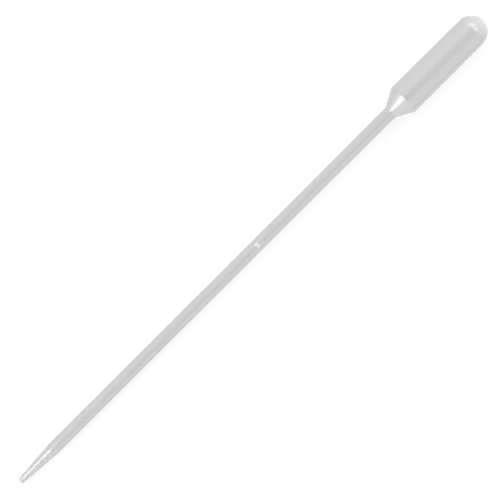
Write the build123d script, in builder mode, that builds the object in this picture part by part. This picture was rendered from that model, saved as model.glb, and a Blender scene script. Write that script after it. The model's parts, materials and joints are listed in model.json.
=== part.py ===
from build123d import *

import os
from math import atan2, cos, degrees, sin, tan

# A dropper pipette, blow-moulded from soft polyethylene in one piece: a squeeze bulb with a
# domed end, a short conical shoulder, a long stem and a tapered tip that is open at its end.
# It is hollow all the way, lies on its side with +Z up, and its bulb points along +X.
# Places along the pipette are measured from the cut end of the tip. All sizes are in millimetres.

# ---- lengths ----
total_length = 300.0
tip_length = 21.5  # tapered part, from the cut end to the full stem
tip_land_length = 2.0  # parallel bore inside the cut end
neck_flare_length = 46.0  # upper stem that widens gently into the shoulder
shoulder_length = 8.2  # cone between the stem and the bulb
bulb_length = 51.2  # from the shoulder's corner to the top of the dome

# ---- outer diameters ----
tip_diameter = 2.85
stem_diameter = 6.05
neck_diameter = 6.35
bulb_shoulder_diameter = 15.55
bulb_dome_diameter = 15.1  # the bulb narrows a little towards its dome

# ---- walls ----
tip_wall = 0.6
stem_wall = 0.7
bulb_wall = 0.5

# ---- rounded corners ----
tip_rim_round = 0.25
neck_round = 2.5
shoulder_round = 1.5

# ---- graduation mark: a short raised bar across the upper side of the stem ----
mark_position = 154.0
mark_width = 1.1  # along the stem
mark_arc = 50.0  # degrees around the stem
mark_height = 0.2
mark_root = 0.3  # how far the bar reaches into the wall of the stem

# ---- radii and places that follow from the sizes above ----
tip_radius = tip_diameter / 2
stem_radius = stem_diameter / 2
neck_radius = neck_diameter / 2
shoulder_radius = bulb_shoulder_diameter / 2
dome_radius = bulb_dome_diameter / 2
shoulder_at = total_length - bulb_length
neck_at = shoulder_at - shoulder_length
flare_at = neck_at - neck_flare_length
dome_at = total_length - dome_radius

# ---- how it lies: the lower end of the stem and the corner of the shoulder touch z = 0 ----
rest_tilt = atan2(shoulder_radius - stem_radius, shoulder_at - tip_length)
rest_height = stem_radius * cos(rest_tilt) - tip_length * sin(rest_tilt)
rest_min_x = -tip_radius * sin(rest_tilt)
rest_max_x = dome_at * cos(rest_tilt) + dome_radius
axial_plane = Plane(
    origin=(-(rest_min_x + rest_max_x) / 2, 0, rest_height),
    x_dir=(cos(rest_tilt), 0, sin(rest_tilt)),
    z_dir=(0, -1, 0),
)
pipette_axis = Axis(axial_plane.origin, axial_plane.x_dir)

# ---- the cavity, a wall inside the outer skin all the way ----
# Where the shoulder turns the skin by an angle, the inner corner shifts by wall * tan(angle / 2).
shoulder_slope = atan2(shoulder_radius - neck_radius, shoulder_length)
tip_bore_radius = tip_radius - tip_wall
stem_bore_radius = stem_radius - stem_wall
neck_bore_radius = neck_radius - stem_wall
shoulder_bore_radius = shoulder_radius - bulb_wall
dome_bore_radius = dome_radius - bulb_wall
neck_bore_at = neck_at + stem_wall * tan(shoulder_slope / 2)
shoulder_bore_at = shoulder_at + bulb_wall * tan(shoulder_slope / 2)

# ---- the mark stands on the skin, also where it comes to lie on the flare ----
mark_on_flare = max(0, mark_position - flare_at) / neck_flare_length
mark_base_radius = stem_radius + (neck_radius - stem_radius) * mark_on_flare
mark_plane = Plane(axial_plane.location * Rotation(-mark_arc / 2, 0, 0))

with BuildPart() as pipette:
    # one section of the wall, turned about the pipette's own axis
    with BuildSketch(axial_plane):
        with BuildLine():
            FilletPolyline(
                (0, 0),
                (0, tip_radius),
                (tip_length, stem_radius),
                (flare_at, stem_radius),
                (neck_at, neck_radius),
                (shoulder_at, shoulder_radius),
                (dome_at, dome_radius),
                radius=[tip_rim_round, 0, 0, neck_round, shoulder_round],
            )
            CenterArc(center=(dome_at, 0), radius=dome_radius, start_angle=0, arc_size=90)
            Line((total_length, 0), (0, 0))
        make_face()
        with BuildLine():
            FilletPolyline(
                (0, 0),
                (0, tip_bore_radius),
                (tip_land_length, tip_bore_radius),
                (tip_length, stem_bore_radius),
                (flare_at, stem_bore_radius),
                (neck_bore_at, neck_bore_radius),
                (shoulder_bore_at, shoulder_bore_radius),
                (dome_at, dome_bore_radius),
                radius=[0, 0, 0, 0, neck_round + stem_wall, shoulder_round - bulb_wall],
            )
            CenterArc(center=(dome_at, 0), radius=dome_bore_radius, start_angle=0, arc_size=90)
            Line((dome_at + dome_bore_radius, 0), (0, 0))
        make_face(mode=Mode.SUBTRACT)
    revolve(axis=pipette_axis)
    # the graduation mark, a low rounded crest centred on the upper side
    with BuildSketch(mark_plane):
        with BuildLine():
            Polyline(
                (mark_position - mark_width / 2, mark_base_radius),
                (mark_position - mark_width / 2, mark_base_radius - mark_root),
                (mark_position + mark_width / 2, mark_base_radius - mark_root),
                (mark_position + mark_width / 2, mark_base_radius),
            )
            ThreePointArc(
                (mark_position - mark_width / 2, mark_base_radius),
                (mark_position, mark_base_radius + mark_height),
                (mark_position + mark_width / 2, mark_base_radius),
            )
        make_face()
    revolve(axis=pipette_axis, revolution_arc=mark_arc)
pipette.part.label = "pipette"

os.makedirs("parts", exist_ok=True)
export_step(pipette.part, "parts/pipette.step")

print(f"rest tilt {degrees(rest_tilt):.4f} degrees")
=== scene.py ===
"""A soft polyethylene dropper pipette, blow-moulded in one piece, on a pale studio floor.

The pipette's own sizes are in millimetres, the studio's in metres, and angles in degrees.
"""

import json
import logging
import math
from dataclasses import dataclass, field
from enum import Enum
from typing import Any

import bmesh
import bpy
from mathutils import Matrix, Vector


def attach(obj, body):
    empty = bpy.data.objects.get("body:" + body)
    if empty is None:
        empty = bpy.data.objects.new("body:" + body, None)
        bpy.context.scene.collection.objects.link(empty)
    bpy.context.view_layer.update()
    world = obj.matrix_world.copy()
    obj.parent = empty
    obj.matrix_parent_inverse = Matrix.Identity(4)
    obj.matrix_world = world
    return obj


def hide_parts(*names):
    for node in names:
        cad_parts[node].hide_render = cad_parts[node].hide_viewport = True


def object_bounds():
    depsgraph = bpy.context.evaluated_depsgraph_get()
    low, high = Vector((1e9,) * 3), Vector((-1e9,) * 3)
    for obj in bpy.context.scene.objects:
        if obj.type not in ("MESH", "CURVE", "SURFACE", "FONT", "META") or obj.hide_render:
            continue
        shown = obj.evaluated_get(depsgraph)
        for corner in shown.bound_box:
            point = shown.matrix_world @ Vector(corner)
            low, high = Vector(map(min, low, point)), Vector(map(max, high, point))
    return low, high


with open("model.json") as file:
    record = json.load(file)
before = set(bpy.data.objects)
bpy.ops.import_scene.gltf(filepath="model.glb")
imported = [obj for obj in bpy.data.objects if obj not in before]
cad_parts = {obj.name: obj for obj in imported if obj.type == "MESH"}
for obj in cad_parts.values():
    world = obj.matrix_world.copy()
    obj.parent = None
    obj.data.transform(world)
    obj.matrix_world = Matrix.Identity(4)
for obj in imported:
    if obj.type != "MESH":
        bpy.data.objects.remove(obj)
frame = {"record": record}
cad_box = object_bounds()

log = logging.getLogger("pipette")

BODY = "root"
NODE = "pipette"
RIDGE = "ridge"  # the mesh attribute that says how far the raised mark stands out
MM = 0.001
WHITE = (1.0, 1.0, 1.0, 1.0)

# the places of a Mix node's sockets, whose names repeat
SHARE, VALUE_A, VALUE_B, COLOUR_A, COLOUR_B = 0, 2, 3, 6, 7
MIXED_VALUE, MIXED_COLOUR = 0, 2


def linear(hex_colour: str) -> tuple[float, float, float, float]:
    """Turn an sRGB hex colour into the linear colour that a shader takes.

    Args:
        hex_colour: a hash and six hex digits.

    Returns:
        Red, green and blue, each from 0 to 1, and an alpha of 1.
    """
    shares = [int(hex_colour[i : i + 2], 16) / 255 for i in (1, 3, 5)]
    red, green, blue = (
        c / 12.92 if c <= 0.04045 else ((c + 0.055) / 1.055) ** 2.4 for c in shares
    )
    return red, green, blue, 1.0


def add_node(
    tree: bpy.types.NodeTree,
    kind: str,
    settings: dict[str, Any] | None = None,
    inputs: dict[str | int, Any] | None = None,
) -> bpy.types.Node:
    """Add a shader node with its settings, values and links.

    Args:
        tree: the node tree that gets the node.
        kind: the node's type name.
        settings: the node's own properties.
        inputs: for each input, by name or place, a value or an output socket to link.

    Returns:
        The new node.
    """
    node = tree.nodes.new(kind)
    for name, value in (settings or {}).items():
        setattr(node, name, value)
    for name, value in (inputs or {}).items():
        if isinstance(value, bpy.types.NodeSocket):
            tree.links.new(value, node.inputs[name])
        else:
            node.inputs[name].default_value = value
    return node


def direct_view(tree: bpy.types.NodeTree) -> bpy.types.NodeSocket:
    """Tell the rays that show the background from those that only light the object.

    Args:
        tree: the node tree that asks.

    Returns:
        A value of 1 for camera, glossy and transmission rays, and 0 for the rest.
    """
    path = add_node(tree, "ShaderNodeLightPath")
    seen = add_node(
        tree,
        "ShaderNodeMath",
        {"operation": "MAXIMUM"},
        {0: path.outputs["Is Camera Ray"], 1: path.outputs["Is Glossy Ray"]},
    )
    shown = add_node(
        tree,
        "ShaderNodeMath",
        {"operation": "MAXIMUM"},
        {0: seen.outputs[0], 1: path.outputs["Is Transmission Ray"]},
    )
    return shown.outputs[0]


def new_material(name: str) -> bpy.types.Material:
    """Make an empty node material.

    Args:
        name: what the material is and how its surface was made.

    Returns:
        The material, with no nodes in its tree.
    """
    material = bpy.data.materials.new(name)
    material.use_nodes = True
    material.node_tree.nodes.clear()
    return material


@dataclass(frozen=True)
class Lie:
    """Where the pipette's own axis runs in the row frame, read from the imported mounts."""

    tip: Vector  # the centre of the cut end
    along: Vector  # the direction from there to the bulb

    @classmethod
    def from_record(cls, record: dict[str, Any]) -> "Lie":
        """Read the axis from the orifice and stem mounts.

        Args:
            record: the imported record.

        Returns:
            The centre of the cut end of the tip, and the direction to the bulb.
        """
        mounts = {mount["name"]: mount for mount in record["mounts"]}
        orifice, stem = mounts["tip_orifice"], mounts["stem"]
        along = -Vector(stem["axis"]).normalized()
        half_land = orifice["dims"]["length_mm"] * MM / 2
        return cls(tip=Vector(orifice["pos_m"]) - along * half_land, along=along)

    def matrix(self) -> Matrix:
        """Work out how the pipette is laid in place.

        Returns:
            The matrix from millimetres along the pipette to metres in the row frame.
        """
        across = Vector((0, 1, 0))
        up = self.along.cross(across)
        turn = Matrix((self.along, across, up)).transposed().to_4x4()
        return Matrix.Translation(self.tip) @ turn @ Matrix.Scale(MM, 4)


@dataclass(frozen=True)
class MilkyPolyethylene:
    """Low-density polyethylene, blow-moulded in a smooth steel mould.

    The wall scatters the light that soaks into it, so the eye sees an even, milky pale
    grey with nothing behind it. The skin that was pressed against the mould is smooth and
    faintly waxy, so its highlights are long, soft-edged and slightly rippled.
    """

    name: str = "LDPE_milky_blow_moulded"
    clear_hex: str = "#BEBEBE"  # where the wall runs a little thinner
    milky_hex: str = "#B8B8B8"  # where it runs a little thicker
    ridge_and_glint_hex: str = "#D6D6D6"  # on the raised mark: whiter for its thicker wall, and lighter still as a painted highlight for the glint on its flanks
    ior: float = 1.51
    specular_level: float = 1.0  # a waxy skin shines a little more than a bare one
    roughness_low: float = 0.18
    roughness_high: float = 0.22
    roughness_tip: float = 0.28  # the tip is drawn down from the tube, which dulls it
    tip_fade_mm: tuple[float, float] = (18.0, 22.0)  # from its end, where that fades out
    subsurface: float = 0.15
    scatter_mm: float = 0.4  # how far light spreads in the wall
    scatter_shares: tuple[float, float, float] = (1.0, 1.0, 1.0)  # red, green, blue
    cloud_mm: float = 9.0  # size of the soft clouds in the wall, across the tube
    cloud_detail: float = 3.0
    cloud_draw: float = 0.2  # their size across the tube, as a share of that along it
    cloud_range: tuple[float, float] = (0.3, 0.7)  # the values that they mostly take
    # The moulded skin's ripple is really a few tenths of a millimetre from crest to
    # crest. That is too fine to show, so its pitch is drawn as coarse as it needs to be.
    ripple_mm: float = 0.9
    ripple_height_mm: float = 0.006

    def straighten(self, tree: bpy.types.NodeTree, lie: Lie) -> bpy.types.NodeSocket:
        """Turn the object's coordinates so that X runs along the pipette from its tip.

        Args:
            tree: the material's node tree.
            lie: where the pipette's axis runs.

        Returns:
            The turned coordinates, in metres.
        """
        place = add_node(tree, "ShaderNodeTexCoord")
        turn = Vector((1, 0, 0)).rotation_difference(lie.along).to_euler()
        straight = add_node(
            tree,
            "ShaderNodeMapping",
            {"vector_type": "TEXTURE"},
            {"Vector": place.outputs["Object"], "Location": lie.tip, "Rotation": turn},
        )
        return straight.outputs["Vector"]

    def cloud(
        self, tree: bpy.types.NodeTree, straight: bpy.types.NodeSocket
    ) -> bpy.types.NodeSocket:
        """Make the wall's clouds, drawn out along the tube as the hot plastic was.

        Args:
            tree: the material's node tree.
            straight: coordinates along the pipette.

        Returns:
            How thick the wall looks, from 0 to 1.
        """
        drawn = add_node(
            tree,
            "ShaderNodeMapping",
            {"vector_type": "POINT"},
            {"Vector": straight, "Scale": (self.cloud_draw, 1.0, 1.0)},
        )
        clouds = add_node(
            tree,
            "ShaderNodeTexNoise",
            inputs={
                "Vector": drawn.outputs["Vector"],
                "Scale": 1 / (self.cloud_mm * MM),
                "Detail": self.cloud_detail,
            },
        )
        return clouds.outputs["Fac"]

    def tone(
        self, tree: bpy.types.NodeTree, clouds: bpy.types.NodeSocket
    ) -> bpy.types.NodeSocket:
        """Colour the wall by its clouds, and paint the raised mark whiter, partly as a
        painted highlight.

        Args:
            tree: the material's node tree.
            clouds: how thick the wall looks.

        Returns:
            The colour.
        """
        colour = add_node(
            tree,
            "ShaderNodeMix",
            {"data_type": "RGBA"},
            {
                SHARE: clouds,
                COLOUR_A: linear(self.clear_hex),
                COLOUR_B: linear(self.milky_hex),
            },
        )
        ridge = add_node(tree, "ShaderNodeAttribute", {"attribute_name": RIDGE})
        # the raised mark is painted whiter: partly its thicker wall, partly a painted
        # highlight that stands in for the glint on its flanks
        marked = add_node(
            tree,
            "ShaderNodeMix",
            {"data_type": "RGBA"},
            {
                SHARE: ridge.outputs["Fac"],
                COLOUR_A: colour.outputs[MIXED_COLOUR],
                COLOUR_B: linear(self.ridge_and_glint_hex),
            },
        )
        return marked.outputs[MIXED_COLOUR]

    def roughness(
        self,
        tree: bpy.types.NodeTree,
        straight: bpy.types.NodeSocket,
        clouds: bpy.types.NodeSocket,
    ) -> bpy.types.NodeSocket:
        """Vary the gloss a little with the clouds, and dull it on the drawn tip.

        Args:
            tree: the material's node tree.
            straight: coordinates along the pipette.
            clouds: how thick the wall looks.

        Returns:
            The roughness.
        """
        moulded = add_node(
            tree,
            "ShaderNodeMapRange",
            inputs={
                "Value": clouds,
                "From Min": self.cloud_range[0],
                "From Max": self.cloud_range[1],
                "To Min": self.roughness_low,
                "To Max": self.roughness_high,
            },
        )
        along = add_node(tree, "ShaderNodeSeparateXYZ", inputs={0: straight})
        past_tip = add_node(
            tree,
            "ShaderNodeMapRange",
            {"interpolation_type": "SMOOTHSTEP"},
            {
                "Value": along.outputs["X"],
                "From Min": self.tip_fade_mm[0] * MM,
                "From Max": self.tip_fade_mm[1] * MM,
            },
        )
        finish = add_node(
            tree,
            "ShaderNodeMix",
            {"data_type": "FLOAT"},
            {
                SHARE: past_tip.outputs["Result"],
                VALUE_A: self.roughness_tip,
                VALUE_B: moulded.outputs["Result"],
            },
        )
        return finish.outputs[MIXED_VALUE]

    def ripple(
        self, tree: bpy.types.NodeTree, straight: bpy.types.NodeSocket
    ) -> bpy.types.NodeSocket:
        """Ripple the moulded skin.

        Args:
            tree: the material's node tree.
            straight: coordinates along the pipette.

        Returns:
            The rippled normal.
        """
        waves = add_node(
            tree,
            "ShaderNodeTexNoise",
            inputs={"Vector": straight, "Scale": 1 / (self.ripple_mm * MM)},
        )
        skin = add_node(
            tree,
            "ShaderNodeBump",
            inputs={
                "Height": waves.outputs["Fac"],
                "Distance": self.ripple_height_mm * MM,
            },
        )
        return skin.outputs["Normal"]

    def build(self, lie: Lie) -> bpy.types.Material:
        """Make the material.

        Args:
            lie: the axis that the wall's clouds follow.

        Returns:
            The finished material.
        """
        material = new_material(self.name)
        tree = material.node_tree
        straight = self.straighten(tree, lie)
        clouds = self.cloud(tree, straight)
        shader = add_node(
            tree,
            "ShaderNodeBsdfPrincipled",
            inputs={
                "Base Color": self.tone(tree, clouds),
                "Roughness": self.roughness(tree, straight, clouds),
                "IOR": self.ior,
                "Specular IOR Level": self.specular_level,
                "Subsurface Weight": self.subsurface,
                "Subsurface Radius": self.scatter_shares,
                "Subsurface Scale": self.scatter_mm * MM,
                "Normal": self.ripple(tree, straight),
            },
        )
        add_node(
            tree, "ShaderNodeOutputMaterial", inputs={"Surface": shader.outputs["BSDF"]}
        )
        return material


@dataclass(frozen=True)
class StudioWhite:
    """White studio paper, uncoated and matt.

    It looks plain white with no gloss or texture, yet still takes the object's shadow.
    """

    name: str = "studio_paper_white_matt"
    paper_hex: str = "#A6A6A6"  # what it throws back at the object
    shaded_share: float = 0.2  # how much of the direct view follows the light on it
    lift: float = 0.8  # glow that only the direct view of it gets
    roughness: float = 1.0
    specular_level: float = 0.0  # uncoated paper has no gloss

    def build(self) -> bpy.types.Material:
        """Make the paper's material.

        Returns:
            The finished material.
        """
        material = new_material(self.name)
        tree = material.node_tree
        shown = direct_view(tree)
        glow = add_node(
            tree, "ShaderNodeMath", {"operation": "MULTIPLY"}, {0: shown, 1: self.lift}
        )
        colour = add_node(
            tree,
            "ShaderNodeMix",
            {"data_type": "RGBA"},
            {
                SHARE: shown,
                COLOUR_A: linear(self.paper_hex),
                COLOUR_B: (self.shaded_share,) * 3 + (1.0,),
            },
        )
        paper = add_node(
            tree,
            "ShaderNodeBsdfPrincipled",
            inputs={
                "Base Color": colour.outputs[MIXED_COLOUR],
                "Roughness": self.roughness,
                "Specular IOR Level": self.specular_level,
                "Emission Color": WHITE,
                "Emission Strength": glow.outputs[0],
            },
        )
        add_node(
            tree, "ShaderNodeOutputMaterial", inputs={"Surface": paper.outputs["BSDF"]}
        )
        return material


class Side(Enum):
    """Which skin of the wall a section follows."""

    OUTER = "outer"
    INNER = "inner"


@dataclass(frozen=True)
class Corner:
    """A corner of the wall's section."""

    at: float  # its place along the axis, from the cut end of the tip
    radius: float  # its distance from the axis
    rounding: float = 0.0  # the radius that rounds it
    cuts: int = 0  # rings added in the stretch that leads to it


@dataclass
class DropperPipette:
    """The whole pipette: one wall from the open tip, up the stem and round the bulb."""

    # lengths along the axis
    total_length: float = 300.0
    tip_length: float = 21.5
    tip_land_length: float = 2.0
    neck_flare_length: float = 46.0
    shoulder_length: float = 8.2
    bulb_length: float = 51.2

    # outside radii
    tip_radius: float = 1.425
    stem_radius: float = 3.025
    neck_radius: float = 3.175
    shoulder_radius: float = 7.75
    dome_radius: float = 7.55

    # thickness of the wall
    tip_wall: float = 0.6
    stem_wall: float = 0.7
    bulb_wall: float = 0.5

    # rounding of the corners
    tip_rim_round: float = 0.25
    neck_round: float = 2.5
    shoulder_round: float = 0.8

    # the raised graduation mark
    mark_at: float = 154.4
    mark_width: float = 2.2  # at its foot, along the stem
    mark_flank: float = 1.1  # length of each sloping flank
    mark_margin: float = 0.15  # between its foot and the plain stem's nearest rings
    mark_height: float = 0.2
    mark_arc: float = 50.0
    mark_fade: float = 8.0  # how far each end runs out, either side of the arc's end

    # how finely the mesh is made
    around: int = 128
    ring_pitch: float = 4.0
    round_steps: int = 6
    shoulder_rings: int = 3
    dome_steps: int = 28
    mark_rings: int = 14
    merge_distance: float = 1e-4

    pieces: list[bpy.types.Object] = field(default_factory=list)

    @property
    def shoulder_at(self) -> float:
        """Return where the shoulder's cone meets the bulb."""
        return self.total_length - self.bulb_length

    @property
    def neck_at(self) -> float:
        """Return where the stem meets the shoulder's cone."""
        return self.shoulder_at - self.shoulder_length

    @property
    def flare_at(self) -> float:
        """Return where the stem starts to widen."""
        return self.neck_at - self.neck_flare_length

    @property
    def dome_at(self) -> float:
        """Return the centre of the dome."""
        return self.total_length - self.dome_radius

    def cuts_for(self, start: float, end: float) -> int:
        """Return how many rings a straight stretch needs to keep the usual pitch."""
        return max(0, round((end - start) / self.ring_pitch) - 1)

    def corners(self, side: Side) -> list[Corner]:
        """List the corners of one skin, from the tip to where the dome starts.

        Args:
            side: which skin.

        Returns:
            The corners in order along the axis.
        """
        outer = side is Side.OUTER
        tip_wall = 0.0 if outer else self.tip_wall
        stem_wall = 0.0 if outer else self.stem_wall
        bulb_wall = 0.0 if outer else self.bulb_wall

        # inside, both ends of the cone move up the axis, so that its wall stays even
        rise = self.shoulder_radius - self.neck_radius
        shift = math.tan(math.atan2(rise, self.shoulder_length) / 2)
        neck_at = self.neck_at + stem_wall * shift
        shoulder_at = self.shoulder_at + bulb_wall * shift

        tip = self.tip_radius - tip_wall
        stem = self.stem_radius - stem_wall
        if outer:
            end = [Corner(0.0, tip, self.tip_rim_round)]
            mark = self.mark_corners()
            before_flare = self.mark_at + self.mark_width
        else:
            end = [Corner(0.0, tip), Corner(self.tip_land_length, tip)]
            mark = []
            before_flare = self.tip_length
        return [
            *end,
            Corner(self.tip_length, stem, cuts=self.cuts_for(0.0, self.tip_length)),
            *mark,
            Corner(self.flare_at, stem, cuts=self.cuts_for(before_flare, self.flare_at)),
            Corner(
                neck_at,
                self.neck_radius - stem_wall,
                self.neck_round + stem_wall,
                self.cuts_for(self.flare_at, neck_at),
            ),
            Corner(
                shoulder_at,
                self.shoulder_radius - bulb_wall,
                self.shoulder_round - bulb_wall,
                self.shoulder_rings,
            ),
            Corner(
                self.dome_at,
                self.dome_radius - bulb_wall,
                cuts=self.cuts_for(shoulder_at, self.dome_at),
            ),
        ]

    def mark_corners(self) -> list[Corner]:
        """List the rings either side of the graduation mark, with close rings between.

        Returns:
            The corners in order along the axis.
        """
        half = self.mark_width / 2
        lower, upper = self.mark_at - half, self.mark_at + half
        return [
            Corner(
                lower - self.mark_margin,
                self.stem_radius,
                cuts=self.cuts_for(self.tip_length, lower),
            ),
            Corner(lower, self.stem_radius),
            Corner(upper, self.stem_radius, cuts=self.mark_rings),
            Corner(upper + self.mark_margin, self.stem_radius),
        ]

    def draw_skin(self, bm: bmesh.types.BMesh, side: Side) -> None:
        """Draw the section of one skin, from the cut end to the middle of the dome.

        Args:
            bm: the mesh that gets the section.
            side: which skin.
        """
        corners = self.corners(side)
        points = [bm.verts.new((c.at, 0.0, c.radius)) for c in corners]
        runs = [bm.edges.new(pair) for pair in zip(points, points[1:])]
        dome = bmesh.ops.spin(
            bm,
            geom=[points[-1]],
            cent=(self.dome_at, 0.0, 0.0),
            axis=(0.0, 1.0, 0.0),
            angle=math.pi / 2,
            steps=self.dome_steps,
        )
        for pole in dome["geom_last"]:
            if isinstance(pole, bmesh.types.BMVert):
                pole.co.z = 0.0  # exactly on the axis, so that the dome closes
        for run, corner in zip(runs, corners[1:]):
            if corner.cuts:
                bmesh.ops.subdivide_edges(bm, edges=[run], cuts=corner.cuts)

    def round_corner(self, bm: bmesh.types.BMesh, corner: Corner) -> None:
        """Round one corner of the section with its own radius.

        Args:
            bm: the mesh that holds the section.
            corner: the corner to round.
        """
        place = Vector((corner.at, 0.0, corner.radius))
        point = min(bm.verts, key=lambda vert: (vert.co - place).length)
        before, after = (
            edge.other_vert(point).co - point.co for edge in point.link_edges
        )
        turn = math.pi - before.angle(after)
        bmesh.ops.bevel(
            bm,
            geom=[point],
            offset=corner.rounding * math.tan(turn / 2),
            offset_type="OFFSET",
            segments=self.round_steps,
            profile=0.5,
            affect="VERTICES",
            material=-1,
        )

    def raise_mark(self, bm: bmesh.types.BMesh) -> None:
        """Raise the graduation mark, a low ridge across the stem's upper side.

        Its flanks slope along the stem, and its ends run out smoothly round the stem.

        Args:
            bm: the turned wall, in millimetres along its own axis.
        """
        half = self.mark_width / 2
        reach, fade = math.radians(self.mark_arc / 2), math.radians(self.mark_fade)
        ridge = bm.verts.layers.float.new(RIDGE)
        for vert in bm.verts:
            inside = half - abs(vert.co.x - self.mark_at)
            radius = math.hypot(vert.co.y, vert.co.z)
            if inside <= 0 or radius < self.stem_radius - self.stem_wall / 2:
                continue
            slope = min(1.0, inside / self.mark_flank)
            angle = abs(math.atan2(vert.co.y, vert.co.z))
            share = min(1.0, max(0.0, (reach + fade - angle) / (2 * fade)))
            vert[ridge] = slope * share * share * (3 - 2 * share)  # smooth at both ends
            lift = self.mark_height * vert[ridge]
            vert.co.y *= 1 + lift / radius
            vert.co.z *= 1 + lift / radius

    def build(self, lie: Lie) -> None:
        """Turn the wall's section about the axis and lay it in place.

        Args:
            lie: where the axis runs.
        """
        bm = bmesh.new()
        for side in Side:
            self.draw_skin(bm, side)
        cut_end = [vert for vert in bm.verts if vert.co.x == 0.0]
        bm.edges.new(cut_end)
        for corner in (c for side in Side for c in self.corners(side) if c.rounding):
            self.round_corner(bm, corner)
        bmesh.ops.spin(
            bm,
            geom=[*bm.verts, *bm.edges],
            cent=(0.0, 0.0, 0.0),
            axis=(1.0, 0.0, 0.0),
            angle=math.tau,
            steps=self.around,
            use_merge=True,
        )
        bmesh.ops.remove_doubles(bm, verts=bm.verts, dist=self.merge_distance)
        self.raise_mark(bm)
        bmesh.ops.recalc_face_normals(bm, faces=bm.faces)
        bmesh.ops.transform(bm, matrix=lie.matrix(), verts=bm.verts)
        open_edges = sum(not edge.is_manifold for edge in bm.edges)
        mesh = bpy.data.meshes.new("pipette_wall")
        bm.to_mesh(mesh)
        bm.free()
        mesh.shade_smooth()
        wall = bpy.data.objects.new("pipette_wall", mesh)
        bpy.context.scene.collection.objects.link(wall)
        log.info("%s turned, %d open edges", wall.name, open_edges)
        self.pieces.append(wall)

    def dress(self, lie: Lie, finish: MilkyPolyethylene) -> None:
        """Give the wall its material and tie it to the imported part.

        Args:
            lie: where the axis runs.
            finish: the material to wear.
        """
        material = finish.build(lie)
        for piece in self.pieces:
            piece.data.materials.append(material)
            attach(piece, BODY)
            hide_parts(NODE)


class Spot(Enum):
    """A spot on the pipette that a light faces, in metres."""

    TIP = (-0.140, 0.0, 0.003)
    MIDDLE = (0.0, 0.0, 0.010)
    SHOULDER = (0.095, 0.0, 0.012)
    BULB = (0.140, 0.0, 0.010)
    DOME = (0.145, 0.0, 0.010)


class Role(Enum):
    """What a studio light does."""

    KEY = "key"  # adds soft light, and gloss shows it
    FILL = "fill"  # only adds soft light
    GLINT = "glint"  # only shows in gloss, so it can be small and bright


@dataclass(frozen=True)
class Softbox:
    """A flat studio light with its width laid across the pipette."""

    name: str
    role: Role
    spot: Spot
    azimuth: float  # from +X towards +Y
    elevation: float  # above the floor
    distance: float
    spread: tuple[float, float]  # angles that its width and height fill from there
    radiance: float

    def build(self) -> bpy.types.Object:
        """Place the light and turn it to its spot.

        Returns:
            The light's object.
        """
        turn, rise = math.radians(self.azimuth), math.radians(self.elevation)
        flat = math.cos(rise)
        away = Vector((math.cos(turn) * flat, math.sin(turn) * flat, math.sin(rise)))
        width, height = (
            2 * self.distance * math.tan(math.radians(angle / 2)) for angle in self.spread
        )
        lamp = bpy.data.lights.new(self.name, "AREA")
        lamp.shape = "RECTANGLE"
        lamp.size, lamp.size_y = width, height
        # a lamp's power spreads over its face and over a half space of directions
        lamp.energy = self.radiance * math.pi * width * height
        light = bpy.data.objects.new(self.name, lamp)
        across = Vector((0, 1, 0)).cross(away).cross(away).normalized() * -1
        axes = Matrix((across, away.cross(across), away)).transposed().to_4x4()
        place = Vector(self.spot.value) + away * self.distance
        light.matrix_world = Matrix.Translation(place) @ axes
        light.visible_camera = False
        light.visible_glossy = self.role is not Role.FILL
        light.visible_diffuse = self.role is not Role.GLINT
        bpy.context.scene.collection.objects.link(light)
        return light


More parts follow.
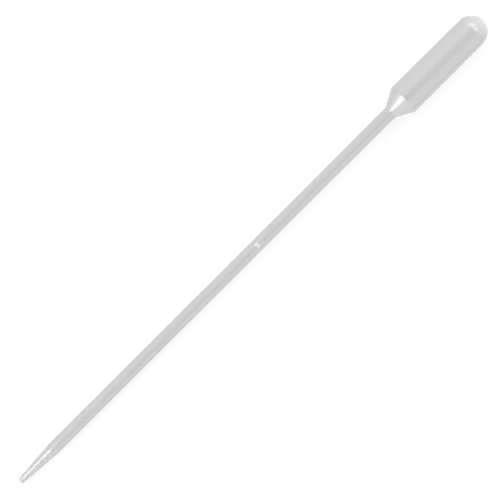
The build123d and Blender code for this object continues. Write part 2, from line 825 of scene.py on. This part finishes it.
@dataclass(frozen=True)
class Surround:
    """The pale room round the object, with an unlit gap overhead."""

    shown: float = 1.0  # what the camera and gloss see
    brightness: float = 0.45  # what lights the object
    end_brightness: float = 0.98  # the same, towards the ends of the object
    ends: tuple[float, float] = (14.0, 54.0)  # from straight up, where the ends brighten
    gap_brightness: float = 0.0
    gap_across: tuple[float, float] = (-32.0, 12.0)  # from straight up, towards +Y
    gap_along: tuple[float, float] = (-25.0, 17.0)  # from straight up, towards +X
    edge_across: float = 18.0  # over which the gap fades out
    edge_along: float = 6.0

    def lean(
        self, tree: bpy.types.NodeTree, parts: bpy.types.Node, axis: str
    ) -> bpy.types.NodeSocket:
        """Measure how far a direction leans from straight up towards one axis.

        Args:
            tree: the world's node tree.
            parts: the node that holds the direction's three parts.
            axis: the axis that it leans to, X or Y.

        Returns:
            The angle, in radians.
        """
        angle = add_node(
            tree,
            "ShaderNodeMath",
            {"operation": "ARCTAN2"},
            {0: parts.outputs[axis], 1: parts.outputs["Z"]},
        )
        return angle.outputs[0]

    def within(
        self,
        tree: bpy.types.NodeTree,
        lean: bpy.types.NodeSocket,
        limits: tuple[float, float],
        edge: float,
    ) -> bpy.types.NodeSocket:
        """Mark the leans between two limits, with a soft edge.

        Args:
            tree: the world's node tree.
            lean: the angle from straight up, in radians.
            limits: the lowest and the highest lean.
            edge: the width of the soft edge.

        Returns:
            A value of 1 between the limits and 0 outside them.
        """
        low, high = limits
        off = add_node(
            tree,
            "ShaderNodeMath",
            {"operation": "SUBTRACT"},
            {0: lean, 1: math.radians((low + high) / 2)},
        )
        size = add_node(
            tree, "ShaderNodeMath", {"operation": "ABSOLUTE"}, {0: off.outputs[0]}
        )
        share = add_node(
            tree,
            "ShaderNodeMapRange",
            {"interpolation_type": "SMOOTHSTEP"},
            {
                "Value": size.outputs[0],
                "From Min": math.radians((high - low + edge) / 2),
                "From Max": math.radians((high - low - edge) / 2),
            },
        )
        return share.outputs["Result"]

    def room(
        self, tree: bpy.types.NodeTree, lean: bpy.types.NodeSocket
    ) -> bpy.types.NodeSocket:
        """Work out how bright the room is outside the gap.

        Args:
            tree: the world's node tree.
            lean: the angle from straight up towards +X, in radians.

        Returns:
            The brightness that each ray gets.
        """
        size = add_node(tree, "ShaderNodeMath", {"operation": "ABSOLUTE"}, {0: lean})
        light = add_node(
            tree,
            "ShaderNodeMapRange",
            {"interpolation_type": "SMOOTHSTEP"},
            {
                "Value": size.outputs[0],
                "From Min": math.radians(self.ends[0]),
                "From Max": math.radians(self.ends[1]),
                "To Min": self.brightness,
                "To Max": self.end_brightness,
            },
        )
        wall = add_node(
            tree,
            "ShaderNodeMix",
            {"data_type": "FLOAT"},
            {
                SHARE: direct_view(tree),
                VALUE_A: light.outputs["Result"],
                VALUE_B: self.shown,
            },
        )
        return wall.outputs[MIXED_VALUE]

    def build(self) -> bpy.types.World:
        """Make the world.

        Returns:
            The finished world.
        """
        world = bpy.data.worlds.new("studio_surround")
        world.use_nodes = True
        tree = world.node_tree
        tree.nodes.clear()
        way = add_node(tree, "ShaderNodeTexCoord")
        parts = add_node(
            tree, "ShaderNodeSeparateXYZ", inputs={0: way.outputs["Generated"]}
        )
        along, across = (self.lean(tree, parts, axis) for axis in ("X", "Y"))
        gap = add_node(
            tree,
            "ShaderNodeMath",
            {"operation": "MULTIPLY"},
            {
                0: self.within(tree, across, self.gap_across, self.edge_across),
                1: self.within(tree, along, self.gap_along, self.edge_along),
            },
        )
        strength = add_node(
            tree,
            "ShaderNodeMix",
            {"data_type": "FLOAT"},
            {
                SHARE: gap.outputs[0],
                VALUE_A: self.room(tree, along),
                VALUE_B: self.gap_brightness,
            },
        )
        glow = add_node(
            tree,
            "ShaderNodeBackground",
            inputs={"Color": WHITE, "Strength": strength.outputs[MIXED_VALUE]},
        )
        add_node(
            tree, "ShaderNodeOutputWorld", inputs={"Surface": glow.outputs["Background"]}
        )
        return world


@dataclass
class Studio:
    """The white paper, the soft lights round it and the camera overhead."""

    paper_size: float = 3.2
    surround: Surround = Surround()
    lens: float = 120.0  # millimetres
    sensor: float = 36.0  # millimetres
    field_width: float = 0.2292  # what the view spans, at the object's middle height
    aim: tuple[float, float] = (0.0003, 0.00084)
    roll: float = -44.92
    lights: tuple[Softbox, ...] = (
        # the bright face of the shoulder's cone
        Softbox("key_low", Role.KEY, Spot.SHOULDER, 167.0, 32.0, 2.0, (36.0, 17.0), 4.4),
        # soft light from above, over the stem and over the bulb's end
        Softbox("key_high", Role.FILL, Spot.TIP, 126.0, 52.5, 1.6, (38.0, 14.0), 4.0),
        Softbox("key_end", Role.FILL, Spot.DOME, 25.0, 50.0, 1.6, (34.0, 30.0), 3.2),
        # the bright line down the tapered tip
        Softbox("tip_glint", Role.GLINT, Spot.TIP, 142.5, 60.0, 1.6, (28.0, 6.0), 16.0),
        # the dome's larger spot, its broad sheen and its smaller spot
        Softbox("dome_glint", Role.GLINT, Spot.DOME, 49.2, 41.1, 1.6, (38.0, 26.0), 2.5),
        Softbox("dome_sheen", Role.GLINT, Spot.DOME, 8.0, 45.0, 1.6, (110.0, 56.0), 0.25),
        Softbox("dome_spark", Role.GLINT, Spot.DOME, -15.9, 62.9, 1.6, (22.0, 18.0), 3.5),
        # low light on the faces that turn away from the view
        Softbox("end_fill", Role.FILL, Spot.BULB, 5.0, 9.0, 2.0, (70.0, 18.0), 3.9),
        Softbox("fill_far", Role.FILL, Spot.MIDDLE, -45.0, 9.0, 2.0, (60.0, 18.0), 2.4),
        Softbox("fill_near", Role.FILL, Spot.MIDDLE, -150.0, 9.0, 2.0, (60.0, 18.0), 3.7),
    )

    def lay_paper(self, paper: StudioWhite) -> None:
        """Lay the paper under the object.

        Args:
            paper: the paper's finish.
        """
        bm = bmesh.new()
        bmesh.ops.create_grid(bm, x_segments=1, y_segments=1, size=self.paper_size / 2)
        mesh = bpy.data.meshes.new("studio_floor")
        bm.to_mesh(mesh)
        bm.free()
        floor = bpy.data.objects.new("studio_floor", mesh)
        mesh.materials.append(paper.build())
        bpy.context.scene.collection.objects.link(floor)

    def light(self) -> None:
        """Set up the lights and the pale surround."""
        for softbox in self.lights:
            light = softbox.build()
            log.info("light %s, %.1f W", light.name, light.data.energy)
        bpy.context.scene.world = self.surround.build()

    def place_camera(self) -> None:
        """Hang the camera straight above, with the bulb up to the right."""
        low, high = cad_box
        lens = bpy.data.cameras.new("camera")
        lens.lens = self.lens
        lens.sensor_width = self.sensor
        camera = bpy.data.objects.new("camera", lens)
        distance = self.field_width * self.lens / self.sensor
        camera.location = (self.aim[0], self.aim[1], (low.z + high.z) / 2 + distance)
        camera.rotation_euler = (0.0, 0.0, math.radians(self.roll))
        bpy.context.scene.collection.objects.link(camera)
        bpy.context.scene.camera = camera

    def build(self, paper: StudioWhite) -> None:
        """Set up the whole studio.

        Args:
            paper: the floor's finish.
        """
        self.lay_paper(paper)
        self.light()
        self.place_camera()
        bpy.context.scene.view_settings.view_transform = "Standard"


def main() -> None:
    """Build the pipette and its studio, and report each piece."""
    logging.basicConfig(level=logging.INFO, format="%(message)s")
    lie = Lie.from_record(frame["record"])
    pipette = DropperPipette()
    pipette.build(lie)
    pipette.dress(lie, MilkyPolyethylene())
    for piece in pipette.pieces:
        faces, finish = len(piece.data.polygons), piece.active_material.name
        log.info("%s: %d faces, %s", piece.name, faces, finish)
    Studio().build(StudioWhite())


if __name__ == "__main__":
    main()
